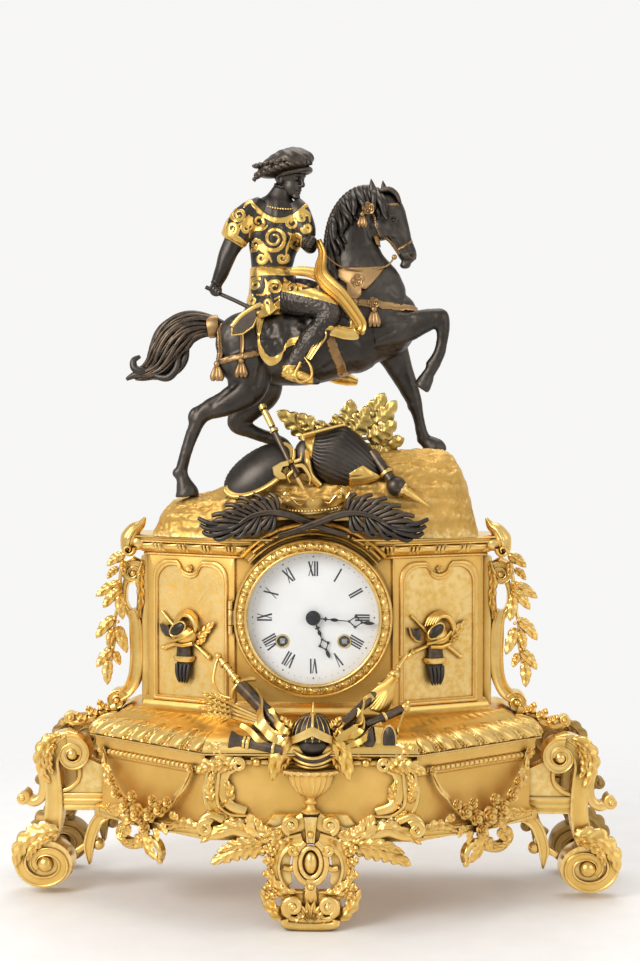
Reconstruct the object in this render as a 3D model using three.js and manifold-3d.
// Gilt and patinated bronze mantel clock: a rider on a bow-fronted case with a round striking movement.
// Millimetres, +X to the viewer's right, +Y away from the viewer, +Z up, standing on Z = 0.
import * as THREE from "three";
import { mergeVertices } from "three/addons/utils/BufferGeometryUtils.js";
import Module from "manifold-3d";

const wasm = await Module();
wasm.setup();

// Clearances
const GAP = 0.3; // between pieces that are fastened together
const RUNNING = 0.3; // round a shaft, or beside something that turns

// Base block: plan of a straight centre bay, two canted wings and straight sides
const BASE_BAY = 76; // half width of the centre bay
const BASE_SIDE = 166; // half width over the sides
const BASE_FRONT = -78;
const BASE_SHOULDER = -4; // where a wing meets a side
const BASE_BACK = 85;
const FOOT_CLEAR = 64; // floor to the underside of the base block
const BASE_HEIGHT = 63;
const BASE_WALL = 4;
const BASE_RAIL = 5; // how far the rails stand out round the sunk panels
const BASE_RAIL_LOW = 8; // height of the lower rail
const BASE_RAIL_TOP = 13; // height of the upper rail
const MOULDING_HEIGHT = 19;
const MOULDING_LIP = 9;
const MOULDING_WEB = 5; // thickness of its top round the foot of the case

// Clock case
const CASE_BAY = 58;
const CASE_SIDE = 130;
const CASE_FRONT = -30;
const CASE_SHOULDER = 6;
const CASE_BACK = 52;
const CASE_WALL = 4;
const CASE_FLARE = 10;
const CORNICE_HEIGHT = 16;
const CORNICE_REACH = 14;
const PANEL_WIDTH = 56;
const PANEL_HEIGHT = 98;
const PANEL_FRAME = 5;
const PANEL_SILL = 12; // foot of the case to the foot of the panel

// Dial, bezel and hands
const BEZEL_RISE = 17; // foot of the case to the foot of the bezel
const BEZEL_ABOVE = 16; // top of the bezel above the top of the case walls
const BEZEL_RADIUS = 60;
const BEZEL_BAND = 10.5; // width of the bezel ring
const BEZEL_LAP = 3; // how far the bezel laps over the drum
const BEZEL_DEPTH = 14;
const DIAL_RISE = BEZEL_RISE + BEZEL_RADIUS; // foot of the case to the dial centre
const CASE_HEIGHT = DIAL_RISE + BEZEL_RADIUS - BEZEL_ABOVE;
const BEZEL_OPENING = BEZEL_RADIUS - BEZEL_BAND;
const DRUM_RADIUS = BEZEL_RADIUS - BEZEL_LAP;
const DRUM_HOLE = BEZEL_OPENING + 1;
const DRUM_PROUD = 3.2; // drum in front of the case front
const DIAL_RADIUS = DRUM_HOLE + 2;
const DIAL_THICK = 1.5;
const GLASS_THICK = 1.6;
const GLASS_CROWN = 6;
const MINUTE_LENGTH = BEZEL_OPENING - 2.5;
const HOUR_LENGTH = (BEZEL_OPENING * 2) / 3;
const HAND_THICK = 0.8;
const HOUR_AT = 158; // degrees clockwise from twelve
const MINUTE_AT = 95;
const KNUCKLE_RADIUS = 1.9;
const KNUCKLE_LENGTH = 12;

// Movement
const PLATE_RADIUS = DRUM_HOLE - 2.5;
const PLATE_DRAWN = 48; // plate radius that the layout of the train is drawn for
const LAYOUT = PLATE_RADIUS / PLATE_DRAWN;
const PLATE_THICK = 2;
const PLATE_SPACE = 34; // between the plates
const MOTION_SPACE = 7.5; // dial back to front plate
const PILLAR_RADIUS = 2.4;
const ARBOR_RADIUS = 1;
const BARREL_X = 23.4 * LAYOUT;
const BARREL_Z = -18 * LAYOUT;
const BARREL_RADIUS = 18 * LAYOUT;
const BARREL_DEPTH = 20;
const BARREL_WALL = 1.5;
const WINDING_RADIUS = 3;
const WINDING_HOLE = 4.8;
const PENDULUM_LENGTH = 115 * LAYOUT;
const BOB_RADIUS = 17 * LAYOUT;
const BOB_THICK = 8;
const ANCHOR_RISE = 44 * LAYOUT; // dial centre to the anchor arbor
const ESCAPE_RADIUS = 9 * LAYOUT;
const BELL_RADIUS = 32 * LAYOUT;
const BELL_DEPTH = 18;
const DOOR_RADIUS = DRUM_RADIUS - 5;

// Wheel teeth: count and module
const BARREL_GEAR = { teeth: 40, module: 1 * LAYOUT };
const FIRST_PINION = { teeth: 8, module: 1 * LAYOUT };
const FIRST_GEAR = { teeth: 40, module: 0.72 * LAYOUT };
const CENTRE_PINION = { teeth: 8, module: 0.72 * LAYOUT };
const CENTRE_GEAR = { teeth: 48, module: 0.6 * LAYOUT };
const THIRD_PINION = { teeth: 8, module: 0.6 * LAYOUT };
const THIRD_GEAR = { teeth: 48, module: 0.52 * LAYOUT };
const ESCAPE_PINION = { teeth: 8, module: 0.52 * LAYOUT };
const ESCAPE_TEETH = 24;
const CANNON_PINION = { teeth: 8, module: 0.75 * LAYOUT };
const MINUTE_GEAR = { teeth: 24, module: 0.75 * LAYOUT };
const MINUTE_PINION = { teeth: 8, module: 0.6 * LAYOUT };
const HOUR_GEAR = { teeth: 32, module: 0.6 * LAYOUT };

// Feet
const FOOT_REACH = 241; // half width over the feet
const FOOT_DRAWN = 69.7; // length from base to tip that the scrolls of a foot are drawn for
const FOOT_VOLUTE = 24; // half height of the lower volute
const FOOT_SPREAD = 1.2; // width of the lower volute over its height
const FOOT_FLAT = 1; // how deep the volute is cut flat where it stands
const FOOT_DEPTH = 26;
const FRONT_FOOT_Y = 8;
const REAR_FOOT_Y = 82;
const CENTRE_FOOT_FRONT = -95;

// Levels and planes worked out from the sizes above
const Z_MOULDING = FOOT_CLEAR + BASE_HEIGHT;
const Z_CASE = Z_MOULDING + MOULDING_HEIGHT;
const Z_CORNICE = Z_CASE + CASE_HEIGHT;
const Z_MOUND = Z_CORNICE + CORNICE_HEIGHT;
const Z_DIAL = Z_CASE + DIAL_RISE;
const Y_DRUM = CASE_FRONT - DRUM_PROUD;
const Y_DIAL_BACK = Y_DRUM - GAP;
const Y_DIAL = Y_DIAL_BACK - DIAL_THICK;
const Y_BEZEL = Y_DRUM - GAP - BEZEL_DEPTH;
const Y_PLATE = Y_DIAL_BACK + MOTION_SPACE; // front of the front plate
const Y_TRAIN = Y_PLATE + PLATE_THICK; // back of the front plate
const Y_BACK_PLATE = Y_TRAIN + PLATE_SPACE;
const Y_BACKSIDE = Y_BACK_PLATE + PLATE_THICK;

// Finishes
const finish = (color, roughness, metalness) =>
  new THREE.MeshStandardMaterial({ color, roughness, metalness, flatShading: true });
const MATTE_GILT = finish(0xc29a48, 0.5, 1);
const BURNISHED_GILT = finish(0xd9ad55, 0.28, 1);
const DARK_BRONZE = finish(0x3a3530, 0.42, 0.9);
const BRASS = finish(0xc8a860, 0.35, 1);
const STEEL = finish(0x9a9a98, 0.35, 1);
const BLACK_STEEL = finish(0x17171a, 0.4, 0.8);
const ENAMEL = finish(0xf1efe8, 0.2, 0);
const GLASS = new THREE.MeshStandardMaterial({
  color: 0xffffff,
  roughness: 0.05,
  metalness: 0,
  transparent: true,
  opacity: 0.2,
});

// Solids

const CURVE_STEPS = 4; // points along each curved stretch of an outline
const ROUND_SIDES = 24; // sides of a large round piece
const LIMB_SIDES = 7;
const at = (x, y, z) => new THREE.Vector3(x, y, z);

function toSolid(geometry) {
  const bare = new THREE.BufferGeometry();
  bare.setAttribute("position", geometry.getAttribute("position"));
  bare.setIndex(geometry.getIndex());
  const merged = mergeVertices(bare, 1e-4);
  const vertProperties = new Float32Array(merged.getAttribute("position").array);
  const triVerts = new Uint32Array(merged.getIndex().array);
  return new wasm.Manifold(new wasm.Mesh({ numProp: 3, vertProperties, triVerts }));
}

function toGeometry(solid) {
  const mesh = solid.getMesh();
  const geometry = new THREE.BufferGeometry();
  geometry.setAttribute("position", new THREE.BufferAttribute(new Float32Array(mesh.vertProperties), 3));
  geometry.setIndex(new THREE.BufferAttribute(new Uint32Array(mesh.triVerts), 1));
  return geometry;
}

const join = (...shapes) => toGeometry(shapes.map(toSolid).reduce((sum, next) => sum.add(next)));

function cut(shape, ...tools) {
  return toGeometry(tools.map(toSolid).reduce((rest, tool) => rest.subtract(tool), toSolid(shape)));
}

const common = (a, b) => toGeometry(toSolid(a).intersect(toSolid(b)));

const moved = (geometry, x, y, z) => geometry.clone().translate(x, y, z);

// What is left of an ornament where it lies on its carriers, with the fastening gap up and to the front
const seated = (ornament, ...carriers) =>
  cut(ornament, ...carriers.flatMap((carrier) => [carrier, moved(carrier, 0, -GAP, GAP)]));

// A closed mesh with its faces turned outwards
function closedMesh(points, index) {
  let volume = 0;
  const cross = at(0, 0, 0);
  for (let i = 0; i < index.length; i += 3) {
    cross.crossVectors(points[index[i + 1]], points[index[i + 2]]);
    volume += points[index[i]].dot(cross);
  }
  const geometry = new THREE.BufferGeometry().setFromPoints(points);
  geometry.setIndex(volume < 0 ? Array.from(index).reverse() : Array.from(index));
  return geometry;
}

function cornersOf(geometry) {
  const places = geometry.getAttribute("position");
  return Array.from({ length: places.count }, (_, i) => at(0, 0, 0).fromBufferAttribute(places, i));
}

// A body through a row of rings with equal counts of points, with a fan over each end
function loft(rings) {
  const count = rings[0].length;
  const points = rings.flat();
  const index = [];
  for (let r = 0; r + 1 < rings.length; r++) {
    for (let i = 0; i < count; i++) {
      const a = r * count + i;
      const b = r * count + ((i + 1) % count);
      index.push(a, b, b + count, a, b + count, a + count);
    }
  }
  const centre = (ring) => ring.reduce((sum, p) => sum.add(p), at(0, 0, 0)).divideScalar(count);
  const last = (rings.length - 1) * count;
  const low = points.push(centre(rings[0])) - 1;
  const high = points.push(centre(rings[rings.length - 1])) - 1;
  for (let i = 0; i < count; i++) {
    const next = (i + 1) % count;
    index.push(low, next, i, high, last + i, last + next);
  }
  return closedMesh(points, index);
}

// A limb along stations [x, z, y, half thickness in the XZ plane, half thickness in depth]
function limb(stations, sides = LIMB_SIDES, turn = 0, grow = 0) {
  const spine = stations.map(([x, z, y]) => at(x, y, z));
  const rings = stations.map(([, , , thick, deep], i) => {
    const before = spine[Math.max(i - 1, 0)];
    const after = spine[Math.min(i + 1, spine.length - 1)];
    const along = after.clone().sub(before).normalize();
    const depth = at(0, 1, 0).addScaledVector(along, -along.y).normalize();
    const across = depth.clone().cross(along);
    return Array.from({ length: sides }, (_, s) => {
      const angle = turn + (2 * Math.PI * s) / sides;
      return spine[i]
        .clone()
        .addScaledVector(across, (thick + grow) * Math.cos(angle))
        .addScaledVector(depth, (deep + grow) * Math.sin(angle));
    });
  });
  return loft(rings);
}

// A limb with a square section
const bar = (stations) =>
  limb(stations.map(([x, z, y, w, d]) => [x, z, y, w * Math.SQRT2, d * Math.SQRT2]), 4, Math.PI / 4);

const ball = (x, y, z, rx, ry, rz) => new THREE.SphereGeometry(1, 8, 6).scale(rx, ry, rz).translate(x, y, z);

const block = (x0, x1, y0, y1, z0, z1) =>
  new THREE.BoxGeometry(x1 - x0, y1 - y0, z1 - z0).translate((x0 + x1) / 2, (y0 + y1) / 2, (z0 + z1) / 2);

// A round bar along Y from y0 to y1, with its axis at x, z
const rod = (radius, y0, y1, x = 0, z = 0, sides = 10) =>
  new THREE.CylinderGeometry(radius, radius, y1 - y0, sides).translate(x, (y0 + y1) / 2, z);

// A turned piece about Y from a profile of [radius, y] that closes on itself or on the axis
function turned(profile, sides) {
  const closing = profile[0][0] > 0 ? [profile[0]] : [];
  const corners = [...profile, ...closing].map(([r, y]) => new THREE.Vector2(r, y));
  const lathe = new THREE.LatheGeometry(corners, sides);
  return toGeometry(toSolid(closedMesh(cornersOf(lathe), lathe.getIndex().array)));
}

// A flat piece drawn in X and Z, with its back at y = back and its front nearer the viewer by its depth
function relief(shape, depth, back = 0, steps = CURVE_STEPS) {
  const geometry = new THREE.ExtrudeGeometry(shape, { depth, bevelEnabled: false, curveSegments: steps });
  return geometry.rotateX(Math.PI / 2).translate(0, back, 0);
}

const outline = (points) => new THREE.Shape(points.map(([x, z]) => new THREE.Vector2(x, z)));

// A piece with round holes [x, z, radius] through it along Y
function bored(geometry, holes) {
  geometry.computeBoundingBox();
  const { min, max } = geometry.boundingBox;
  return cut(geometry, ...holes.map(([x, z, radius]) => rod(radius, min.y - 1, max.y + 1, x, z)));
}

// A round plate with its front at y0 and its back at y1, with holes through it
const plate = (radius, y0, y1, holes) => bored(rod(radius, y0, y1, 0, 0, ROUND_SIDES), holes);

// A pointed leaf lying along +X from the origin
function leaf(length, width) {
  const shape = new THREE.Shape();
  shape.moveTo(0, -width / 8);
  shape.quadraticCurveTo(length * 0.4, -width * 0.8, length, 0);
  shape.quadraticCurveTo(length * 0.4, width * 0.8, 0, width / 8);
  return shape;
}

// A leaf of the given thickness growing from x, y, z in the XZ plane at an angle from +X
const leafAt = (x, y, z, angle, length, width, thick) =>
  relief(leaf(length, width), thick, thick / 2, 2)
    .rotateY(-angle)
    .translate(x, y, z);

// Plans

const bowPlan = (bay, front, side, shoulder, back) =>
  [[-bay, front], [bay, front], [side, shoulder], [side, back], [-side, back], [-side, shoulder]]
    .map(([x, y]) => new THREE.Vector2(x, y));

// A plan with every side moved out by the same distance
function offsetPlan(plan, distance) {
  return plan.map((point, i) => {
    const before = plan[(i + plan.length - 1) % plan.length];
    const after = plan[(i + 1) % plan.length];
    const a = point.clone().sub(before).normalize();
    const b = after.clone().sub(point).normalize();
    const normalA = new THREE.Vector2(a.y, -a.x);
    const normalB = new THREE.Vector2(b.y, -b.x);
    const middle = normalA.clone().add(normalB);
    return point.clone().addScaledVector(middle, (2 * distance) / middle.lengthSq());
  });
}

const mixPlan = (a, b, share) => a.map((point, i) => point.clone().lerp(b[i], share));
const levelRing = (plan, z) => plan.map((point) => at(point.x, point.y, z));

// A block of the given plan through a profile of [offset, z]
const planBlock = (plan, profile) =>
  loft(profile.map(([offset, z]) => levelRing(offsetPlan(plan, offset), z)));

const basePlan = bowPlan(BASE_BAY, BASE_FRONT, BASE_SIDE, BASE_SHOULDER, BASE_BACK);
const casePlan = bowPlan(CASE_BAY, CASE_FRONT, CASE_SIDE, CASE_SHOULDER, CASE_BACK);

// The placing of a right-hand wing: local X runs outwards along it and local -Y faces the viewer
function wingPlace(bay, front, side, shoulder) {
  return new THREE.Matrix4()
    .makeTranslation((bay + side) / 2, (front + shoulder) / 2, 0)
    .multiply(new THREE.Matrix4().makeRotationZ(Math.atan2(shoulder - front, side - bay)));
}
const BASE_WING = wingPlace(BASE_BAY, BASE_FRONT, BASE_SIDE, BASE_SHOULDER);
const CASE_WING = wingPlace(CASE_BAY, CASE_FRONT, CASE_SIDE, CASE_SHOULDER);
const BASE_WING_HALF = Math.hypot(BASE_SIDE - BASE_BAY, BASE_SHOULDER - BASE_FRONT) / 2;

// A left-hand copy of a right-hand shape, with its faces turned back outwards
function mirrorX(geometry) {
  const mirrored = geometry.clone().scale(-1, 1, 1);
  const corners = cornersOf(mirrored);
  return closedMesh(corners, mirrored.getIndex()?.array ?? corners.keys().toArray());
}

// Scene graph

const clock = new THREE.Group();

function piece(name, geometry, material, parent = clock) {
  const mesh = new THREE.Mesh(geometry, material);
  mesh.name = name;
  parent.add(mesh);
  return mesh;
}

// A pair of pieces, modelled on the right and mirrored to the left
const SIDES = { right: 1, left: -1 };
function pair(name, geometry, material) {
  for (const [side, sign] of Object.entries(SIDES)) {
    piece(name.replace("SIDE", side), geometry, material).scale.x = sign;
  }
}

// Base block and moulding

const railLow = FOOT_CLEAR + BASE_RAIL_LOW;
const railTop = Z_MOULDING - BASE_RAIL_TOP;
const baseBlock = planBlock(basePlan, [
  [BASE_RAIL, FOOT_CLEAR],
  [BASE_RAIL, railLow],
  [0, railLow + 2],
  [0, railTop - 3],
  [BASE_RAIL - 1, railTop],
  [BASE_RAIL - 1, Z_MOULDING - GAP],
]);
const baseShell = cut(
  baseBlock,
  planBlock(basePlan, [
    [-BASE_WALL, FOOT_CLEAR - 1],
    [-BASE_WALL, Z_MOULDING - BASE_WALL],
  ]),
);
piece("base_shell", baseShell, MATTE_GILT);

const caseFoot = offsetPlan(casePlan, CASE_FLARE + 2);
const caseInside = offsetPlan(casePlan, -CASE_WALL);
const underPlan = offsetPlan(basePlan, -BASE_WALL);
const mouldingRing = (offset, share, height) =>
  levelRing(mixPlan(offsetPlan(basePlan, offset), caseFoot, share), Z_MOULDING + MOULDING_HEIGHT * height);
const mouldingBlock = loft([
  mouldingRing(MOULDING_LIP, 0, 0),
  mouldingRing(MOULDING_LIP, 0, 0.2),
  mouldingRing(MOULDING_LIP - 5, 0, 0.55),
  mouldingRing(0, 0.35, 0.76),
  mouldingRing(0, 0.75, 0.92),
  levelRing(caseFoot, Z_CASE - GAP),
]);
const moulding = cut(
  mouldingBlock,
  loft([
    levelRing(underPlan, Z_MOULDING - 1),
    levelRing(underPlan, Z_MOULDING + MOULDING_HEIGHT * 0.25),
    levelRing(caseInside, Z_CASE - MOULDING_WEB),
    levelRing(caseInside, Z_CASE + 1),
  ]),
);
piece("plinth_moulding", moulding, BURNISHED_GILT);

// Clock case

function archedShape(width, height, grow) {
  const half = width / 2 + grow;
  const spring = height - width / 4 + grow;
  const shape = new THREE.Shape();
  shape.moveTo(-half, -grow);
  shape.lineTo(half, -grow);
  shape.lineTo(half, spring);
  shape.quadraticCurveTo(half / 2, spring + width / 3, 0, spring);
  shape.quadraticCurveTo(-half / 2, spring + width / 3, -half, spring);
  return shape;
}
const panelSill = Z_CASE + PANEL_SILL;
const frameShape = archedShape(PANEL_WIDTH, PANEL_HEIGHT, PANEL_FRAME);
frameShape.holes = [archedShape(PANEL_WIDTH, PANEL_HEIGHT, GAP)];
const panelFrame = relief(frameShape, PANEL_FRAME / 2 + 1, 1)
  .translate(0, 0, panelSill)
  .applyMatrix4(CASE_WING);

// Hinge of the bezel: a knuckle on the door between two fixed lugs
const HINGE_X = -(BEZEL_RADIUS + KNUCKLE_RADIUS + 0.7);
const HINGE_Y = Y_DRUM - KNUCKLE_RADIUS - 3;
const knuckle = (z0, z1, x, y) =>
  new THREE.CylinderGeometry(KNUCKLE_RADIUS, KNUCKLE_RADIUS, z1 - z0, 8)
    .rotateX(Math.PI / 2)
    .translate(x, y, (z0 + z1) / 2);
const LUG = KNUCKLE_LENGTH / 2;
function hingeLug(z, x, y, root) {
  const arm = block(x - KNUCKLE_RADIUS, x + KNUCKLE_RADIUS, Math.min(y, root), Math.max(y, root), z, z + LUG);
  return join(knuckle(z, z + LUG, x, y), arm);
}
const lugLevels = [Z_DIAL + KNUCKLE_LENGTH / 2 + GAP, Z_DIAL - KNUCKLE_LENGTH / 2 - GAP - LUG];
const caseLugs = lugLevels.map((z) => hingeLug(z, HINGE_X, HINGE_Y, CASE_FRONT + CASE_WALL));

const drum = (y0, y1, radius = DRUM_RADIUS) => rod(radius, y0, y1, 0, Z_DIAL, ROUND_SIDES);
const caseShell = cut(
  join(
    cut(
      planBlock(casePlan, [
        [CASE_FLARE, Z_CASE],
        [CASE_FLARE * 0.4, Z_CASE + 4],
        [0, Z_CASE + 12],
        [0, Z_CORNICE - GAP],
      ]),
      planBlock(casePlan, [
        [-CASE_WALL, Z_CASE - 1],
        [-CASE_WALL, Z_CORNICE + 1],
      ]),
    ),
    panelFrame,
    mirrorX(panelFrame),
    ...caseLugs,
    drum(Y_DRUM, CASE_FRONT + CASE_WALL),
    drum(CASE_BACK - CASE_WALL, CASE_BACK),
  ),
  drum(Y_DRUM - 1, CASE_BACK + 1, DRUM_HOLE),
);
piece("case_shell", caseShell, MATTE_GILT);

const casePanel = relief(archedShape(PANEL_WIDTH, PANEL_HEIGHT, 0), 1.5, -GAP)
  .translate(0, 0, panelSill)
  .applyMatrix4(CASE_WING);
pair("SIDE_case_panel", casePanel, MATTE_GILT);

// Cornice: a moulding round the case that rises in an arch over the bezel, with a leaf curl at each corner
const ARCH_INNER = BEZEL_RADIUS + 2;
const ARCH_OUTER = BEZEL_RADIUS + 13;
const archFront = CASE_FRONT - CORNICE_REACH;
function corniceRing(offset, height) {
  const ring = levelRing(offsetPlan(casePlan, offset), Z_CORNICE + height);
  return ring.map((point) => point.setY(Math.min(point.y, CASE_BACK)));
}
const cornerCurl = limb(
  [
    [CASE_SIDE + 6, Z_CORNICE + 6, CASE_SHOULDER - 4, 6, 6],
    [CASE_SIDE + 12, Z_CORNICE + 16, CASE_SHOULDER - 8, 5, 7],
    [CASE_SIDE + 18, Z_CORNICE + 26, CASE_SHOULDER - 10, 3.5, 6],
    [CASE_SIDE + 15, Z_CORNICE + 31, CASE_SHOULDER - 10, 2, 4],
  ],
  6,
);
const cornice = cut(
  join(
    loft([
      corniceRing(2, 0),
      corniceRing(6, 3),
      corniceRing(CORNICE_REACH, 9),
      corniceRing(CORNICE_REACH, CORNICE_HEIGHT - 2),
      corniceRing(CORNICE_REACH - 4, CORNICE_HEIGHT - GAP),
    ]),
    cut(
      drum(archFront, CASE_FRONT + CASE_WALL, ARCH_OUTER),
      block(-ARCH_OUTER, ARCH_OUTER, archFront - 1, 0, Z_DIAL - ARCH_OUTER, Z_CORNICE),
    ),
    cornerCurl,
    mirrorX(cornerCurl),
  ),
  planBlock(casePlan, [
    [-CASE_WALL - 4, Z_CORNICE - 1],
    [-CASE_WALL - 4, Z_CORNICE + CORNICE_HEIGHT + 20],
  ]),
  drum(archFront - 1, Y_DRUM + GAP, ARCH_INNER),
  drum(Y_DRUM - 1, CASE_BACK + 1, DRUM_RADIUS + GAP),
);
piece("cornice", cornice, BURNISHED_GILT);

// Side consoles and their leaf drops
const consoleY = (CASE_SHOULDER + CASE_BACK) / 2;
const consoleX = CASE_SIDE + GAP;
const sideConsole = seated(
  join(
    bar([
      [consoleX + 5, Z_CORNICE - 9, consoleY, 4.6, 10],
      [consoleX + 5, Z_CASE + 86, consoleY, 4.6, 10],
      [consoleX + 8, Z_CASE + 54, consoleY, 4.2, 9],
      [consoleX + 14, Z_CASE + 27, consoleY, 4, 9],
      [consoleX + 23, Z_CASE + 8, consoleY, 4.5, 9],
    ]),
    rod(9, consoleY - 10, consoleY + 10, consoleX + 25, Z_CASE + 6),
  ),
  mouldingBlock,
  caseShell,
);
pair("SIDE_console", sideConsole, BURNISHED_GILT);

const dropY = consoleY - 14;
const dropSpine = [
  [consoleX + 9, Z_CASE + 98],
  [consoleX + 15, Z_CASE + 80],
  [consoleX + 21, Z_CASE + 60],
  [consoleX + 22, Z_CASE + 42],
  [consoleX + 19, Z_CASE + 28],
];
const leafDrop = seated(
  join(
    limb(dropSpine.map(([x, z]) => [x, z, dropY, 2.5, 4]), 6),
    block(consoleX + 6, consoleX + 14, dropY, consoleY - 9, Z_CASE + 84, Z_CASE + 94),
    ...dropSpine.slice(1).flatMap(([x, z]) => [
      leafAt(x, dropY, z, 0.2, 17, 9, 4),
      leafAt(x, dropY, z, -1.1, 14, 8, 4),
    ]),
  ),
  sideConsole,
);
pair("SIDE_leaf_drop", leafDrop, BURNISHED_GILT);

// Scroll feet
const barRoot = BASE_SIDE + BASE_RAIL + GAP;
const barLow = FOOT_CLEAR + 1;
const footStretch = (FOOT_REACH - barRoot) / FOOT_DRAWN;
const footX = FOOT_REACH - FOOT_VOLUTE * FOOT_SPREAD * footStretch;
const alongFoot = (x, z, thick, deep) => [footX + x * footStretch, z, 0, thick, deep];
const atRoot = (x, z, thick, deep) => [barRoot + x * footStretch, z, 0, thick, deep];
const scrollFoot = cut(
  join(
    rod(FOOT_VOLUTE, -FOOT_DEPTH / 2, FOOT_DEPTH / 2, 0, 0, 16)
      .scale(FOOT_SPREAD * footStretch, 1, 1 + FOOT_FLAT / FOOT_VOLUTE)
      .translate(footX, 0, FOOT_VOLUTE),
    bar([
      alongFoot(0, FOOT_VOLUTE + 16, 8, 9),
      alongFoot(-6, FOOT_CLEAR - 4, 7, 8),
      alongFoot(-6, FOOT_CLEAR + 24, 7, 8),
      alongFoot(-8, FOOT_CLEAR + 48, 6, 8),
      alongFoot(-14, FOOT_CLEAR + 66, 4, 7),
    ]),
    rod(16, -11, 11, footX - 21 * footStretch, FOOT_CLEAR + 48, 12),
    bar([
      alongFoot(-5, FOOT_CLEAR + 54, 4, 7),
      alongFoot(4, FOOT_CLEAR + 36, 4, 7),
      alongFoot(9, FOOT_CLEAR + 18, 4, 7),
      alongFoot(19, FOOT_CLEAR + 8, 3, 6),
    ]),
    rod(5, -7, 7, footX + 19 * footStretch, FOOT_CLEAR + 9, 10),
    block(barRoot, footX - 4 * footStretch, -5, 5, barLow, barLow + 12),
    bar([
      atRoot(5, barLow + 4, 3.5, 5),
      atRoot(10, FOOT_CLEAR - 18, 3.5, 5),
      atRoot(20, FOOT_VOLUTE + 6, 3.5, 5),
    ]),
  ),
  block(footX - FOOT_REACH, FOOT_REACH + 1, -FOOT_DEPTH, FOOT_DEPTH, -2 * FOOT_FLAT, 0),
);
for (const [place, y] of Object.entries({ front: FRONT_FOOT_Y, rear: REAR_FOOT_Y })) {
  pair(`${place}_SIDE_foot`, moved(scrollFoot, 0, y, 0), BURNISHED_GILT);
}

// Centre foot with the pierced apron
const apronBack = BASE_FRONT - BASE_RAIL - GAP;
const apronHalf = [
  [BASE_BAY - 2, FOOT_CLEAR + 19],
  [BASE_BAY + 6, FOOT_CLEAR + 6],
  [BASE_BAY, FOOT_CLEAR - 8],
  [BASE_BAY - 12, FOOT_CLEAR - 2],
  [BASE_BAY - 22, FOOT_CLEAR - 14],
  [40, FOOT_CLEAR - 18],
  [28, FOOT_CLEAR - 30],
  [24, 20],
  [20, 8],
  [20, 0],
];
const mirroredHalf = apronHalf.map(([x, z]) => [-x, z]).reverse();
const apronHoles = [
  [BASE_BAY - 12, FOOT_CLEAR + 10, 4],
  [44, FOOT_CLEAR - 4, 5],
  [17, FOOT_CLEAR - 14, 4],
].flatMap(([x, z, r]) => [[x, z, r], [-x, z, r]]);
const apronDepth = apronBack - CENTRE_FOOT_FRONT - 2;
const centreFoot = join(
  bored(relief(outline([...apronHalf, ...mirroredHalf]), apronDepth, apronBack), apronHoles),
  bar([
    [0, 0, apronBack - 6, 18, apronBack - 6 - CENTRE_FOOT_FRONT],
    [0, 12, apronBack - 6, 15, apronBack - 6 - CENTRE_FOOT_FRONT],
    [0, 30, apronBack - 5, 9, apronBack - 5 - CENTRE_FOOT_FRONT],
  ]),
  ball(0, apronBack - apronDepth + 1, FOOT_CLEAR - 24, 7, 3, 10),
);
piece("centre_foot", centreFoot, BURNISHED_GILT);

// Cartouche frame and urn on the centre bay
const frameLow = FOOT_CLEAR + 21;
const frameHigh = Z_MOULDING - 1;
function cartouche(half, low, high, corner) {
  const shape = new THREE.Shape();
  shape.moveTo(-half, low + corner);
  shape.quadraticCurveTo(-half + corner, low + corner, -half + corner, low);
  shape.lineTo(half - corner, low);
  shape.quadraticCurveTo(half - corner, low + corner, half, low + corner);
  shape.lineTo(half, high - corner);
  shape.quadraticCurveTo(half - corner, high - corner, half - corner, high);
  shape.lineTo(-half + corner, high);
  shape.quadraticCurveTo(-half + corner, high - corner, -half, high - corner);
  return shape;
}
const frameOutline = cartouche(BASE_BAY + 2, frameLow, frameHigh, 8);
frameOutline.holes = [cartouche(BASE_BAY - 9, frameLow + 7, frameHigh - 7, 6)];
const cartoucheFrame = seated(relief(frameOutline, 9, BASE_FRONT + 1), baseBlock);
piece("cartouche_frame", cartoucheFrame, BURNISHED_GILT);

const URN_PROUD = 6; // middle of the urn in front of the centre bay
const urn = seated(
  turned([[0, 0], [10, 0], [8, 3], [5, 6], [14, 12], [20, 19], [21, 24], [17, 26], [0, 24]], 14)
    .rotateX(Math.PI / 2)
    .scale(1, 0.5, 1)
    .translate(0, BASE_FRONT - URN_PROUD, frameLow - 1),
  cartoucheFrame,
  baseBlock,
);
piece("urn", urn, MATTE_GILT);

// Garland on each base wing, with its drop
const garlandY = -BASE_RAIL - GAP - 4;
const garlandTop = Z_MOULDING - 6;
const garland = join(
  limb(
    [
      [BASE_WING_HALF - 6, garlandTop, garlandY, 2.5, 3.5],
      [BASE_WING_HALF - 10, garlandTop - 19, garlandY, 5, 3.8],
      [BASE_WING_HALF - 25, garlandTop - 38, garlandY, 8, 4],
      [4, garlandTop - 47, garlandY, 10, 4],
      [-BASE_WING_HALF + 37, garlandTop - 38, garlandY, 8, 4],
      [-BASE_WING_HALF + 15, garlandTop - 13, garlandY, 4, 3.8],
      [-BASE_WING_HALF + 8, garlandTop - 2, garlandY, 2.5, 3.5],
    ],
    6,
  ),
  ball(4, garlandY - 1, garlandTop - 46, 12, 5, 11),
  limb(
    [
      [8, garlandTop - 51, garlandY, 8, 4],
      [8, garlandTop - 65, garlandY, 10, 4],
      [0, garlandTop - 75, garlandY, 6, 3.5],
      [-12, garlandTop - 79, garlandY, 2, 2],
    ],
    6,
  ),
).applyMatrix4(BASE_WING);
pair("SIDE_garland", garland, MATTE_GILT);

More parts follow.
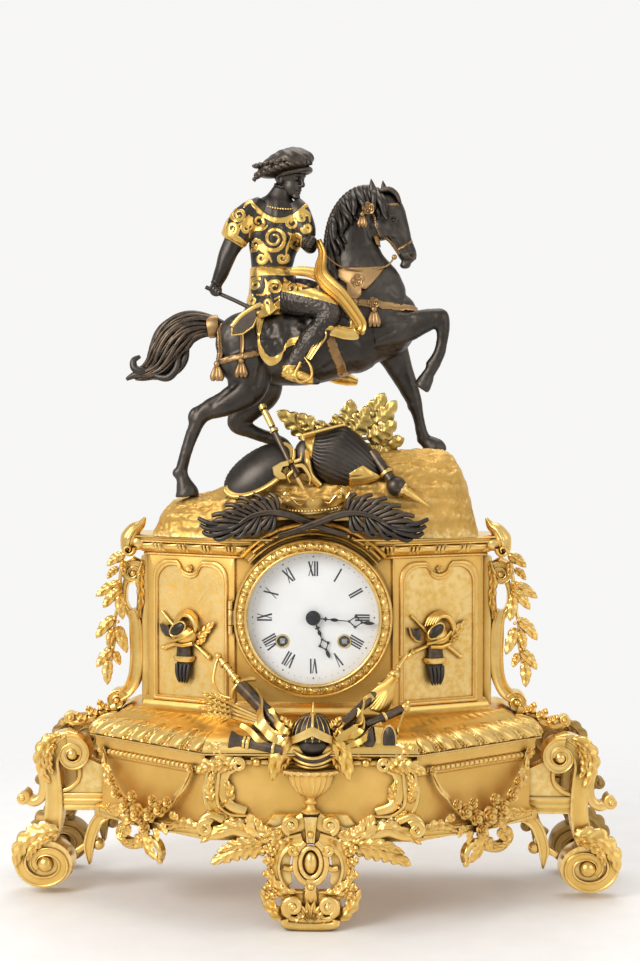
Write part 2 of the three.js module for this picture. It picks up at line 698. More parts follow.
// Front trophy
const HELMET_HALF = 19;
const bundleX = HELMET_HALF + 4; // where the arms on each side gather, clear of the helmet
const helmet = seated(
  join(
    ball(0, BASE_FRONT - 3, Z_MOULDING + 14, 17, 13, 20),
    bar([
      [-HELMET_HALF, Z_MOULDING + 4, BASE_FRONT - 4, 3, 10],
      [0, Z_MOULDING + 7, BASE_FRONT - 6, 3, 10],
      [HELMET_HALF, Z_MOULDING + 4, BASE_FRONT - 4, 3, 10],
    ]),
  ),
  mouldingBlock,
  cartoucheFrame,
  baseBlock,
);
piece("front_helmet", helmet, DARK_BRONZE);

const leftArms = seated(
  join(
    limb(
      [
        [-77, Z_CASE + 50, CASE_FRONT - 6, 4, 4],
        [-52, Z_CASE + 25, CASE_FRONT - 17, 3, 3],
        [-38, Z_CASE + 10, CASE_FRONT - 26, 4, 3],
        [-bundleX, Z_CASE - 8, BASE_FRONT + 2, 4, 3],
      ],
      6,
    ),
    limb(
      [
        [-71.5, Z_CASE + 35, CASE_FRONT - 9, 2.4, 2.4],
        [-60, Z_CASE + 46, CASE_FRONT - 9, 2.4, 2.4],
      ],
      6,
    ),
    limb(
      [
        [-84, Z_CASE + 14, CASE_FRONT - 24, 4, 4],
        [-58, Z_CASE - 1, BASE_FRONT + 20, 6, 5],
        [-bundleX, Z_CASE - 8, BASE_FRONT - 5, 6, 5],
      ],
      6,
    ),
    limb(
      [
        [-56, Z_MOULDING + 9, BASE_FRONT - 8, 6, 6],
        [-bundleX, Z_MOULDING + 8, BASE_FRONT - 6, 5, 5],
      ],
      8,
    ),
  ),
  mouldingBlock,
  caseShell,
  cartoucheFrame,
);
piece("left_arms", leftArms, BURNISHED_GILT);

const rightArms = seated(
  join(
    limb(
      [
        [70, Z_CASE + 53, CASE_FRONT - 8, 3, 3],
        [58, Z_CASE + 27, CASE_FRONT - 16, 3, 3],
        [36, Z_CASE + 8, CASE_FRONT - 30, 3.5, 3.5],
        [bundleX, Z_CASE - 8, BASE_FRONT + 2, 4, 4],
      ],
      6,
    ),
    limb(
      [
        [60, Z_CASE + 52, CASE_FRONT - 8, 1.5, 2],
        [69, Z_CASE + 47, CASE_FRONT - 8, 3.5, 3],
        [80, Z_CASE + 56, CASE_FRONT - 8, 1.5, 2],
      ],
      6,
    ),
    limb(
      [
        [76, Z_CASE + 15, BASE_FRONT + 22, 5, 5],
        [48, Z_CASE - 1, BASE_FRONT + 12, 5, 5],
        [bundleX, Z_CASE - 8, BASE_FRONT - 5, 5, 5],
      ],
      6,
    ),
    limb(
      [
        [62, Z_MOULDING + 10, BASE_FRONT - 6, 10, 4],
        [52, Z_MOULDING + 11, BASE_FRONT - 6, 5, 5],
        [bundleX, Z_MOULDING + 8, BASE_FRONT - 6, 5, 5],
      ],
      8,
    ),
  ),
  mouldingBlock,
  caseShell,
  cartoucheFrame,
);
piece("right_arms", rightArms, BURNISHED_GILT);

// Trophy on each case panel: plumed helmet, gauntlet, axe and torch in low relief, alike on both sides
const trophyZ = panelSill + 40;
const panelPlate = relief(archedShape(PANEL_WIDTH, PANEL_HEIGHT, 0), 30, 30).translate(0, 0, panelSill);
function panelTrophy(sign) {
  return cut(
    join(
      ball(-4 * sign, 0, trophyZ + 18, 12, 7, 13),
      ball(6 * sign, 0, trophyZ - 12, 11, 6, 13),
      limb(
        [
          [-22 * sign, trophyZ - 14, -3, 2.5, 2.5],
          [20 * sign, trophyZ + 26, -3, 2.5, 2.5],
        ],
        6,
      ),
      limb(
        [
          [20 * sign, trophyZ - 20, -3, 2, 2.5],
          [-18 * sign, trophyZ + 6, -3, 3, 2.5],
          [-23 * sign, trophyZ + 9, -3, 8, 2.5],
        ],
        6,
      ),
    ),
    moved(panelPlate, 0, -1.5 - 2 * GAP, 0),
  ).applyMatrix4(CASE_WING);
}
piece("right_panel_trophy", panelTrophy(1), DARK_BRONZE);
piece("left_panel_trophy", panelTrophy(-1), DARK_BRONZE).scale.x = -1;

// Laurel branches crossed over the arch
const LAUREL_THICK = 5;
function laurelBranch(y) {
  const spine = [
    [26, Z_MOUND + 1, y, 2, LAUREL_THICK / 2],
    [2, Z_MOUND + 10, y, 2, LAUREL_THICK / 2],
    [-28, Z_MOUND + 19, y, 4, LAUREL_THICK / 2],
    [-52, Z_MOUND + 15, y, 9, LAUREL_THICK / 2],
    [-72, Z_MOUND + 4, y, 7, LAUREL_THICK / 2],
    [-84, Z_MOUND - 3, y, 1.5, LAUREL_THICK / 2],
  ];
  const leaves = spine.slice(2, 5).flatMap(([x, z]) => [
    leafAt(x, y, z, 2.2, 16, 9, LAUREL_THICK),
    leafAt(x, y, z, 3.9, 15, 9, LAUREL_THICK),
  ]);
  return join(bar(spine), ...leaves);
}
const laurelY = archFront - GAP - LAUREL_THICK / 2;
const leftLaurel = laurelBranch(laurelY);
const rightLaurel = mirrorX(laurelBranch(laurelY - LAUREL_THICK - GAP));
piece("right_laurel", rightLaurel, DARK_BRONZE);
piece("left_laurel", leftLaurel, DARK_BRONZE);

// Horse, modelled about its own middle plane, with x, z measured from the middle of the mound's foot
const HORSE_Y = 5;
const TORSO = [
  [-77, 150, 0, 4, 5],
  [-68, 149, 0, 20, 15],
  [-52, 147, 0, 28, 21],
  [-30, 146, 0, 31, 24],
  [-5, 148, 0, 33, 25],
  [18, 161, 0, 39, 25],
  [40, 166, 0, 37, 23],
  [60, 166, 0, 28, 19],
  [74, 169, 0, 14, 12],
  [80, 171, 0, 4, 4],
];
const NECK = [
  [40, 186, 0, 32, 17],
  [31, 212, 0, 23, 13],
  [29, 232, 0, 18.5, 10.5],
  [36, 250, 0, 15.5, 9],
  [48, 259, 0, 11, 8],
];
const HEAD = [
  [46, 260, 0, 9, 8],
  [54, 250, 0, 14.5, 9.5],
  [61, 237, 0, 12, 8.3],
  [67, 225, 0, 9, 7],
  [71, 216, 0, 7.5, 6.5],
  [73, 209, 0, 4, 4],
];
const MANE = [
  [18, 202, 0, 6, 4],
  [13, 228, 0, 7, 5],
  [16, 252, 0, 7, 5],
  [30, 268, 0, 7, 4.5],
  [46, 271, 0, 4, 3],
];
const TAIL = [
  [-70, 156, 0, 6, 6],
  [-92, 158, 0, 9, 7],
  [-108, 150, 0, 13, 8],
  [-120, 136, 0, 14, 8],
  [-132, 127, 0, 10, 6],
  [-143, 124, 0, 6, 4],
  [-150, 126, 0, 2, 2],
];
const NEAR_HIND = [
  [-56, 140, -14, 22, 10],
  [-48, 114, -15, 15, 9],
  [-66, 103, -15, 10, 7],
  [-86, 94, -15, 7, 5],
  [-95, 74, -15, 4.8, 4.2],
  [-103, 51, -15, 5.2, 4.6],
  [-101, 40, -15, 6.5, 6],
  [-100, 31, -15, 8.5, 7.5],
];
const FAR_HIND = [
  [-50, 140, 14, 22, 10],
  [-40, 114, 15, 14, 8.5],
  [-54, 98, 15, 9.5, 6.5],
  [-65, 86, 15, 6.5, 5],
  [-48, 79, 15, 4.6, 4.2],
  [-26, 72, 15, 5, 4.5],
  [-20, 63, 15, 6, 5.6],
  [-18, 52, 15, 7.5, 7],
];
const NEAR_FORE = [
  [46, 158, -12, 16, 9],
  [70, 160, -14, 11, 7.5],
  [96, 168, -15, 7.5, 6.5],
  [97, 152, -15, 4.8, 4.4],
  [92, 136, -15, 5, 4.7],
  [86, 124, -15, 6, 5.5],
  [81, 115, -15, 7, 6.5],
];
const FAR_FORE = [
  [56, 150, 12, 15, 9],
  [66, 128, 13, 9.5, 7],
  [75, 109, 14, 6.8, 6],
  [79, 94, 14, 4.5, 4.3],
  [83, 79, 14, 5, 4.7],
  [90, 69, 14, 6, 5.6],
  [94, 59, 14, 8.5, 7],
];
const ear = (sign) =>
  limb(
    [
      [45, 264, 4.5 * sign, 4, 2.5],
      [42, 275, 6 * sign, 3, 1.8],
      [40, 283, 6.5 * sign, 0.6, 0.6],
    ],
    6,
  );
const onMound = (geometry, y = HORSE_Y) => geometry.translate(0, y, Z_MOUND);
const horseCore = (grow) => onMound(join(limb(TORSO, 10, 0, grow), limb(NECK, LIMB_SIDES, 0, grow)));
const horse = join(
  horseCore(0),
  onMound(
    join(
      limb(HEAD),
      limb(MANE, 6),
      limb(TAIL, 6),
      limb(NEAR_HIND),
      limb(FAR_HIND),
      limb(NEAR_FORE),
      limb(FAR_FORE),
      ear(1),
      ear(-1),
    ),
  ),
);
piece("horse", horse, DARK_BRONZE);

// Saddle cloth: the part of a skin over the horse that lies inside its outline
const CLOTH_THICK = 3.2;
const clothOutline = outline([
  [-46, 192],
  [-46, 131],
  [-12, 131],
  [0, 126],
  [16, 128],
  [30, 150],
  [34, 176],
  [22, 206],
]);
const saddleCloth = cut(
  common(horseCore(CLOTH_THICK), onMound(relief(clothOutline, 100, 50))),
  horseCore(GAP),
  onMound(limb(NEAR_HIND, LIMB_SIDES, 0, GAP)),
  onMound(limb(FAR_HIND, LIMB_SIDES, 0, GAP)),
);
piece("saddle_cloth", saddleCloth, MATTE_GILT);

// Rider
const axeShaft = (grow) =>
  onMound(
    limb(
      [
        [-86, 191, -6, 2.2, 2.2],
        [-60, 180, -19, 2.2, 2.2],
        [-44, 172, -29, 2.6, 2.6],
      ],
      6,
      0,
      grow,
    ),
  );
const riderAxe = join(
  axeShaft(0),
  onMound(relief(outline([[-52, 178], [-46, 170], [-50, 152], [-68, 148], [-62, 164]]), 3, -23)),
);
const rider = cut(
  onMound(
    join(
      limb(
        [
          [-36, 170, 0, 22, 24],
          [-36, 186, 0, 17, 16],
          [-34, 205, 0, 15, 13],
          [-32, 224, 0, 19, 14],
          [-31, 239, 0, 22, 13],
          [-28, 250, 0, 13, 10],
          [-25, 258, 0, 6.5, 6.5],
          [-20, 268, 0, 6, 6],
        ],
        10,
      ),
      ball(-15, 0, 272, 9.5, 9, 11.5),
      ball(0, 0, 0, 26, 21, 8.5).rotateY(-0.12).translate(-24, 0, 288),
      limb([
        [-47, 240, -4, 10, 9],
        [-60, 228, -8, 8, 7.5],
        [-70, 212, -10, 6.5, 6],
        [-75, 196, -9, 4.6, 4.6],
        [-78, 186, -9, 5, 5],
      ]),
      limb([
        [-14, 242, 0, 10, 9],
        [-2, 232, -4, 6.5, 6.5],
        [-1, 226, -10, 5, 5],
        [-5, 224, -18, 5.5, 5],
      ]),
      limb([
        [-34, 182, -10, 13, 12],
        [-8, 179, -27, 11, 10],
        [13, 172, -33, 8.5, 8],
        [2, 154, -33, 7.5, 6.5],
        [-17, 133, -32, 5, 5],
        [-20, 126, -32, 5, 5],
      ]),
      limb(
        [
          [-23, 126, -32, 5, 5],
          [-8, 122, -33, 5, 5],
          [4, 120, -34, 3, 3.5],
        ],
        6,
      ),
      limb([
        [-34, 182, 10, 13, 12],
        [0, 179, 27, 11, 10],
        [28, 172, 33, 8.5, 8],
        [22, 154, 33, 7.5, 6.5],
        [14, 133, 32, 5, 5],
        [14, 126, 32, 5, 5],
      ]),
      limb(
        [
          [10, 126, 32, 5, 5],
          [28, 122, 33, 5, 5],
          [40, 120, 34, 3, 3.5],
        ],
        6,
      ),
    ),
  ),
  horseCore(CLOTH_THICK + GAP),
  riderAxe,
  axeShaft(GAP),
);
piece("rider", rider, DARK_BRONZE);
piece("rider_axe", riderAxe, BURNISHED_GILT);

// Rock mound: rounded sections along X, each [x, height, front, back], hollow underneath
const MOUND_WALL = 6;
const MOUND = [
  [-124, 5, -16, 36],
  [-114, 24, -22, 42],
  [-94, 31, -30, 46],
  [-68, 38, -35, 46],
  [-40, 50, -38, 46],
  [-8, 57, -40, 46],
  [30, 63, -40, 46],
  [60, 66, -38, 46],
  [98, 65, -32, 44],
  [114, 48, -24, 42],
  [125, 6, -16, 36],
];
function moundBody(inset) {
  const arcPoints = 9;
  const rings = MOUND.map(([x, height, front, back]) => {
    const middle = (front + back) / 2;
    const half = (back - front) / 2 - inset;
    return Array.from({ length: arcPoints }, (_, i) => {
      const angle = (Math.PI * i) / (arcPoints - 1);
      const swell = (value) => Math.sign(value) * Math.abs(value) ** 0.6;
      const rise = Math.max(height - inset, 1);
      const lift = rise * swell(Math.max(Math.sin(angle), 0));
      return at(x, middle + half * swell(Math.cos(angle)), Z_MOUND + lift);
    });
  });
  return loft(inset ? rings.slice(1, -1) : rings);
}
const moundHollow = moundBody(MOUND_WALL);
const archBack = CASE_FRONT + CASE_WALL + GAP;
const archTop = Z_DIAL + ARCH_OUTER + GAP;
const moundBlock = cut(
  moundBody(0),
  block(-ARCH_OUTER, ARCH_OUTER, archFront - 10, archBack, Z_MOUND - 1, archTop),
);
const mound = cut(
  moundBlock,
  moundHollow,
  moved(moundHollow, 0, 0, -1), // opens the hollow underneath
  horse,
  moved(horse, 0, 0, -GAP),
);
piece("rock_mound", mound, MATTE_GILT);

// Trophy on the mound
const onSlope = (geometry) => geometry.translate(0, 0, Z_MOUND);
const cuirass = seated(
  onSlope(
    join(
      limb([
        [-12, 70, -26, 12, 9],
        [-4, 68, -27, 19, 13],
        [16, 64, -28, 22, 15],
        [36, 60, -28, 19, 14],
        [48, 55, -28, 21, 15],
        [56, 51, -27, 17, 12],
      ]),
      limb(
        [
          [46, 54, -34, 4, 4],
          [66, 39, -38, 5, 5],
          [74, 33, -39, 7.5, 7],
          [80, 28, -40, 5, 5],
          [87, 23, -40, 1.5, 1.5],
        ],
        8,
      ),
    ),
  ),
  moundBlock,
);
piece("cuirass", cuirass, DARK_BRONZE);

const shield = seated(
  onSlope(ball(0, 0, 0, 28, 5, 20).rotateX(0.45).rotateY(-0.5).translate(-42, -33, 54)),
  moundBlock,
  cuirass,
);
piece("shield", shield, DARK_BRONZE);

const halberd = seated(
  onSlope(
    join(
      limb(
        [
          [-44, 106, -22, 2.2, 2.2],
          [-2, 36, -47, 2.6, 2.6],
        ],
        6,
      ),
      relief(outline([[-22, 66], [-8, 44], [2, 52], [4, 66], [-8, 62]]), 3, -41),
    ),
  ),
  moundBlock,
  shield,
  cuirass,
);
piece("halberd", halberd, BURNISHED_GILT);

const oakLeaves = [2.75, 2.35, 2.0, 1.6, 1.2, 0.8, 0.4];
const oakSpray = seated(
  onSlope(
    join(
      limb(
        [
          [22, 48, -10, 4, 4],
          [22, 70, -11, 3, 3],
        ],
        6,
      ),
      ...oakLeaves.map((angle, i) =>
        leafAt(22, -11, 58, angle, 50 - 6 * Math.cos(2 * angle), 17, 3 + (i % 2)),
      ),
    ),
  ),
  moundBlock,
  cuirass,
  shield,
);
piece("oak_spray", oakSpray, BRASS);

const crown = seated(
  turned([[20, 0], [23, 0], [22, 8], [26, 18], [23, 18], [19, 8]], 14)
    .rotateX(Math.PI / 2)
    .scale(1, 0.5, 1)
    .translate(2, -38, Z_MOUND + 17),
  moundBlock,
  cuirass,
  halberd,
  leftLaurel,
  rightLaurel,
  cornice,
);
piece("crown", crown, BURNISHED_GILT);

// Dial, hands and bezel, about the dial centre

const front = new THREE.Group();
front.position.z = Z_DIAL;
clock.add(front);

const BARRELS = [BARREL_X, -BARREL_X].map((x) => [x, BARREL_Z]);
const PIPE_RADIUS = 3.2; // hour pipe
const CANNON_RADIUS = 1.9;
const CANNON_BORE = ARBOR_RADIUS + RUNNING;
const HOUR_BORE = CANNON_RADIUS + RUNNING;
const dialHoles = [[0, 0, PIPE_RADIUS + 0.6], ...BARRELS.map(([x, z]) => [x, z, WINDING_HOLE])];
const dialFeet = [[0, -38], [33, 20], [-33, 20]].map(([x, z]) =>
  rod(1.4, Y_DIAL_BACK - 0.5, Y_PLATE - GAP, x, z, 8),
);
piece("dial", join(plate(DIAL_RADIUS, Y_DIAL, Y_DIAL_BACK, dialHoles), ...dialFeet), ENAMEL, front);

const rebate = BEZEL_OPENING + 1.9;
const lip = Y_BEZEL + 3.4;
const bezelBack = Y_DRUM - GAP;
const bezelRing = turned(
  [
    [BEZEL_OPENING, Y_BEZEL + 1.4],
    [BEZEL_OPENING + 2.5, Y_BEZEL],
    [BEZEL_RADIUS - 3, Y_BEZEL + 2.5],
    [BEZEL_RADIUS, Y_BEZEL + 7],
    [BEZEL_RADIUS, bezelBack],
    [DIAL_RADIUS + 0.7, bezelBack],
    [DIAL_RADIUS + 0.7, Y_DIAL - 2],
    [rebate, Y_DIAL - 2],
    [rebate, lip],
    [BEZEL_OPENING, lip],
  ],
  ROUND_SIDES,
);
const bezelLeaf = block(HINGE_X, -BEZEL_RADIUS + 1, HINGE_Y - 1, HINGE_Y + 1, -LUG, LUG);
const bezel = join(bezelRing, bezelLeaf, knuckle(-LUG, LUG, HINGE_X, HINGE_Y));
piece("bezel", bezel, BURNISHED_GILT, front);

const glassFlange = rebate - GAP;
const glassEdge = BEZEL_OPENING - GAP;
const crownAt = (radius) => GLASS_CROWN * (1 - (radius / glassEdge) ** 2);
const glassRadii = [0, 0.4, 0.75, 1].map((share) => share * glassEdge);
const glass = turned(
  [
    ...glassRadii.map((r) => [r, lip + GAP - crownAt(r)]),
    [glassFlange, lip + GAP],
    [glassFlange, lip + GAP + GLASS_THICK],
    ...glassRadii.toReversed().map((r) => [r, lip + GAP + GLASS_THICK - crownAt(r)]),
  ],
  ROUND_SIDES,
);
piece("bezel_glass", glass, GLASS, front);

// Gear with pointed teeth, the tip standing less above the pitch circle than the root lies below it
const pitchRadius = ({ teeth, module }) => (teeth * module) / 2;
const TIP = 0.7;
const ROOT = 1.3;
function gear(wheel, y0, y1, toothAngle, bore = 0) {
  const points = Array.from({ length: 2 * wheel.teeth }, (_, i) => {
    const radius = pitchRadius(wheel) + wheel.module * (i % 2 ? -ROOT : TIP);
    const angle = toothAngle + (Math.PI * i) / wheel.teeth;
    return [radius * Math.cos(angle), radius * Math.sin(angle)];
  });
  const blank = relief(outline(points), y1 - y0, y1);
  return bore ? bored(blank, [[0, 0, bore]]) : blank;
}
const towards = ([x0, z0], [x1, z1]) => Math.atan2(z1 - z0, x1 - x0);
const halfTooth = (wheel) => Math.PI / wheel.teeth;
const place = (geometry, [x, z]) => geometry.translate(x, 0, z);

// Motion work: cannon pinion, minute wheel and hour wheel in front of the front plate
const CENTRE = [0, 0];
const motionReach = pitchRadius(CANNON_PINION) + pitchRadius(MINUTE_GEAR);
const MINUTE_POST = [motionReach * Math.cos(Math.PI / 3), motionReach * Math.sin(Math.PI / 3)];
const lowLayer = [Y_PLATE - 2.9, Y_PLATE - 0.9];
const highLayer = [Y_PLATE - 5.7, Y_PLATE - 3.7];
const hourHandY = Y_DIAL - 1.4;
const minuteHandY = hourHandY - 2.2;

function handShape(length, eye, width) {
  const shape = new THREE.Shape();
  shape.absarc(0, 0, eye, 0.35 * Math.PI, 0.65 * Math.PI - 2 * Math.PI, true);
  shape.lineTo(-width / 2, length * 0.45);
  shape.lineTo(-width * 2.2, length * 0.62);
  shape.lineTo(-width / 2, length * 0.72);
  shape.lineTo(0, length);
  shape.lineTo(width / 2, length * 0.72);
  shape.lineTo(width * 2.2, length * 0.62);
  shape.lineTo(width / 2, length * 0.45);
  return shape;
}
const hand = (length, bore, degrees, back) => {
  const blank = relief(handShape(length, bore + 3, 1.6), HAND_THICK, back);
  return bored(blank, [[0, 0, bore]]).rotateY(THREE.MathUtils.degToRad(degrees));
};
const pipe = (bore, outer, y0, y1) => turned([[bore, y0], [outer, y0], [outer, y1], [bore, y1]], 12);
piece(
  "hour_hand",
  join(
    hand(HOUR_LENGTH, HOUR_BORE, HOUR_AT, hourHandY),
    pipe(HOUR_BORE, PIPE_RADIUS, hourHandY - HAND_THICK, highLayer[1]),
    gear(HOUR_GEAR, ...highLayer, towards(CENTRE, MINUTE_POST) + halfTooth(HOUR_GEAR), HOUR_BORE),
  ),
  BLACK_STEEL,
  front,
);
piece(
  "minute_hand",
  join(
    hand(MINUTE_LENGTH, CANNON_BORE, MINUTE_AT, minuteHandY),
    pipe(CANNON_BORE, CANNON_RADIUS, minuteHandY - HAND_THICK - 1, lowLayer[1]),
    pipe(CANNON_BORE, 4.5, minuteHandY - HAND_THICK - 1.2, minuteHandY - HAND_THICK + 0.2),
    gear(CANNON_PINION, ...lowLayer, towards(CENTRE, MINUTE_POST), CANNON_BORE),
  ),
  BLACK_STEEL,
  front,
);
const minuteWheel = join(
  gear(MINUTE_GEAR, ...lowLayer, towards(MINUTE_POST, CENTRE) + halfTooth(MINUTE_GEAR), CANNON_BORE),
  gear(MINUTE_PINION, highLayer[0], lowLayer[0] + 0.5, towards(MINUTE_POST, CENTRE), CANNON_BORE),
);
piece("minute_wheel", place(minuteWheel, MINUTE_POST), BRASS, front);

// Movement plates
const depth = (w) => Y_TRAIN + w; // w counts back from the front plate
const laidOut = (x, z) => [x * LAYOUT, z * LAYOUT];
const PILLARS = [laidOut(32, 30), laidOut(-32, 30), laidOut(14, -43), laidOut(-14, -43)];
const HAMMER_POST = laidOut(-22, 30);
const ANCHOR_POST = [0, ANCHOR_RISE];
const plateHoles = [[0, 0, CANNON_BORE], ...BARRELS.map(([x, z]) => [x, z, WINDING_RADIUS + RUNNING])];
piece(
  "front_plate",
  join(
    plate(PLATE_RADIUS, Y_PLATE, Y_TRAIN, plateHoles),
    rod(ARBOR_RADIUS, highLayer[0], Y_PLATE + 0.5, ...MINUTE_POST, 8),
    ...PILLARS.map(([x, z]) => rod(PILLAR_RADIUS, Y_PLATE + 0.5, Y_BACK_PLATE - GAP, x, z, 8)),
  ),
  BRASS,
  front,
);

// Where a wheel meshing at its pitch circle with two others stands, above the line between them
function meshPoint([ax, az], reachA, [bx, bz], reachB) {
  const span = Math.hypot(bx - ax, bz - az);
  const along = (reachA ** 2 - reachB ** 2 + span ** 2) / (2 * span);
  const rise = Math.sqrt(reachA ** 2 - along ** 2);
  const [ux, uz] = [(bx - ax) / span, (bz - az) / span];
  const up = ux > 0 ? 1 : -1;
  return [ax + ux * along - up * uz * rise, az + uz * along + up * ux * rise];
}
const GOING = [BARREL_X, BARREL_Z];
const firstReach = pitchRadius(BARREL_GEAR) + pitchRadius(FIRST_PINION);
const centreReach = pitchRadius(FIRST_GEAR) + pitchRadius(CENTRE_PINION);
const FIRST_POST = meshPoint(GOING, firstReach, CENTRE, centreReach);
const STRIKE = [-BARREL_X, BARREL_Z];
const COUNT_POST = [-FIRST_POST[0], FIRST_POST[1]];
const THIRD_POST = [0, pitchRadius(CENTRE_GEAR) + pitchRadius(THIRD_PINION)];
const ESCAPE_POST = [0, THIRD_POST[1] + pitchRadius(THIRD_GEAR) + pitchRadius(ESCAPE_PINION)];

const arborHole = ARBOR_RADIUS + RUNNING;
const backHoles = [ANCHOR_POST, COUNT_POST, HAMMER_POST].map(([x, z]) => [x, z, arborHole]);
piece("back_plate", plate(PLATE_RADIUS, Y_BACK_PLATE, Y_BACKSIDE, backHoles), BRASS, front);

const arbor = (w0 = GAP, w1 = PLATE_SPACE - GAP) => rod(ARBOR_RADIUS, depth(w0), depth(w1), 0, 0, 8);

// Spring barrels with their great wheels, and the winding arbors through them
const DRUM_W = 4;
const GREAT_W = DRUM_W + BARREL_DEPTH;
const barrelBore = WINDING_RADIUS + RUNNING;
function barrel(own, pinionPost) {
  const [y0, y1] = [depth(DRUM_W), depth(GREAT_W)];
  const body = turned(
    [
      [barrelBore, y0],
      [BARREL_RADIUS, y0],
      [BARREL_RADIUS, y1],
      [barrelBore, y1],
      [barrelBore, y1 - BARREL_WALL],
      [BARREL_RADIUS - BARREL_WALL, y1 - BARREL_WALL],
      [BARREL_RADIUS - BARREL_WALL, y0 + BARREL_WALL],
      [barrelBore, y0 + BARREL_WALL],
    ],
    16,
  );
  return place(join(body, gear(BARREL_GEAR, y1 - 0.5, y1 + 2, towards(own, pinionPost), barrelBore)), own);
}
const windingArbor = (own) =>
  place(
    join(
      rod(WINDING_RADIUS, Y_PLATE - 2, depth(PLATE_SPACE - GAP), 0, 0, 10),
      block(-1.9, 1.9, Y_DIAL + 1, Y_PLATE, -1.9, 1.9),
    ),
    own,
  );
piece("going_barrel", barrel(GOING, FIRST_POST), BRASS, front);
piece("going_arbor", windingArbor(GOING), STEEL, front);
piece("strike_barrel", barrel(STRIKE, COUNT_POST), BRASS, front);
piece("strike_arbor", windingArbor(STRIKE), STEEL, front);

// Going train
const FIRST_W = [GREAT_W - 1, GREAT_W + 5];
const firstPinionTooth = towards(FIRST_POST, GOING) + halfTooth(FIRST_PINION);
const firstWheel = join(
  arbor(),
  gear(FIRST_PINION, depth(FIRST_W[0]), depth(FIRST_W[1]), firstPinionTooth),
  gear(FIRST_GEAR, depth(FIRST_W[1] - 0.5), depth(FIRST_W[1] + 1.5), towards(FIRST_POST, CENTRE)),
);
piece("intermediate_wheel", place(firstWheel, FIRST_POST), BRASS, front);

const centrePinionTooth = towards(CENTRE, FIRST_POST) + halfTooth(CENTRE_PINION);
const centreWheel = join(
  rod(ARBOR_RADIUS, Y_PLATE - 6, depth(PLATE_SPACE - GAP), 0, 0, 8),
  gear(CENTRE_PINION, depth(FIRST_W[1] - 1), depth(FIRST_W[1] + 3), centrePinionTooth),
  gear(CENTRE_GEAR, depth(1.5), depth(3), towards(CENTRE, THIRD_POST)),
);
piece("centre_wheel", centreWheel, BRASS, front);

const thirdWheel = join(
  arbor(),
  gear(THIRD_PINION, depth(0.8), depth(5), towards(THIRD_POST, CENTRE) + halfTooth(THIRD_PINION)),
  gear(THIRD_GEAR, depth(12), depth(13.3), towards(THIRD_POST, ESCAPE_POST)),
);
piece("third_wheel", place(thirdWheel, THIRD_POST), BRASS, front);

const ESCAPE_THICK = 1.2;
const ESCAPE_W = 26;
const escapeShape = outline(
  Array.from({ length: 2 * ESCAPE_TEETH }, (_, i) => {
    const radius = i % 2 ? ESCAPE_RADIUS - 1.8 : ESCAPE_RADIUS;
    const angle = (Math.PI * (i + (i % 2 ? 0.7 : 0))) / ESCAPE_TEETH;
    return [radius * Math.cos(angle), radius * Math.sin(angle)];
  }),
);
const escapePinionTooth = towards(ESCAPE_POST, THIRD_POST) + halfTooth(ESCAPE_PINION);
const escapeWheel = join(
  arbor(),
  gear(ESCAPE_PINION, depth(11), depth(15), escapePinionTooth),
  relief(escapeShape, ESCAPE_THICK, depth(ESCAPE_W + ESCAPE_THICK)),
);
piece("escape_wheel", place(escapeWheel, ESCAPE_POST), BRASS, front);

// Anchor with its crutch behind the back plate; pendulum and suspension cock
const Y_ROD = Y_BACKSIDE + 5.5; // middle of the pendulum rod
const ROD_HALF = 1.2;
const CRUTCH_DROP = 40;
const palletReach = ESCAPE_RADIUS + 2.2;
const palletX = palletReach * Math.SQRT1_2;
const palletZ = ESCAPE_POST[1] + palletReach * Math.SQRT1_2;
const anchorMid = depth(ESCAPE_W + ESCAPE_THICK / 2);
const crutchY = Y_BACKSIDE + 3;
const forkX = ROD_HALF + 0.5;
const forkLow = ANCHOR_RISE - CRUTCH_DROP;
const forkHigh = forkLow + 3;
const anchor = join(
  rod(ARBOR_RADIUS, depth(GAP), crutchY + 0.5, ...ANCHOR_POST, 8),
  bar([
    [-palletX, palletZ, anchorMid, 1, 0.6],
    [0, ANCHOR_RISE + 0.6, anchorMid, 1.6, 0.6],
    [palletX, palletZ, anchorMid, 1, 0.6],
  ]),
  block(-1, 1, crutchY - 0.6, crutchY + 0.6, forkLow, ANCHOR_RISE),
  ...[forkX, -forkX - 1].map((x) => block(x, x + 1, crutchY - 0.6, Y_ROD + 2, forkLow, forkHigh)),
  block(-forkX - 1, forkX + 1, crutchY - 0.6, crutchY + 0.6, forkLow, forkHigh),
);
piece("anchor", anchor, STEEL, front);

const bobZ = ANCHOR_RISE - PENDULUM_LENGTH;
const rodTop = ANCHOR_RISE + 4;
const bob = turned(
  [
    [0, Y_ROD - BOB_THICK / 2],
    [BOB_RADIUS, Y_ROD - 0.8],
    [BOB_RADIUS, Y_ROD + 0.8],
    [0, Y_ROD + BOB_THICK / 2],
  ],
  20,
);
const pendulum = join(
  block(-ROD_HALF, ROD_HALF, Y_ROD - 1, Y_ROD + 1, bobZ, rodTop),
  bob.translate(0, 0, bobZ),
);
piece("pendulum", pendulum, BRASS, front);

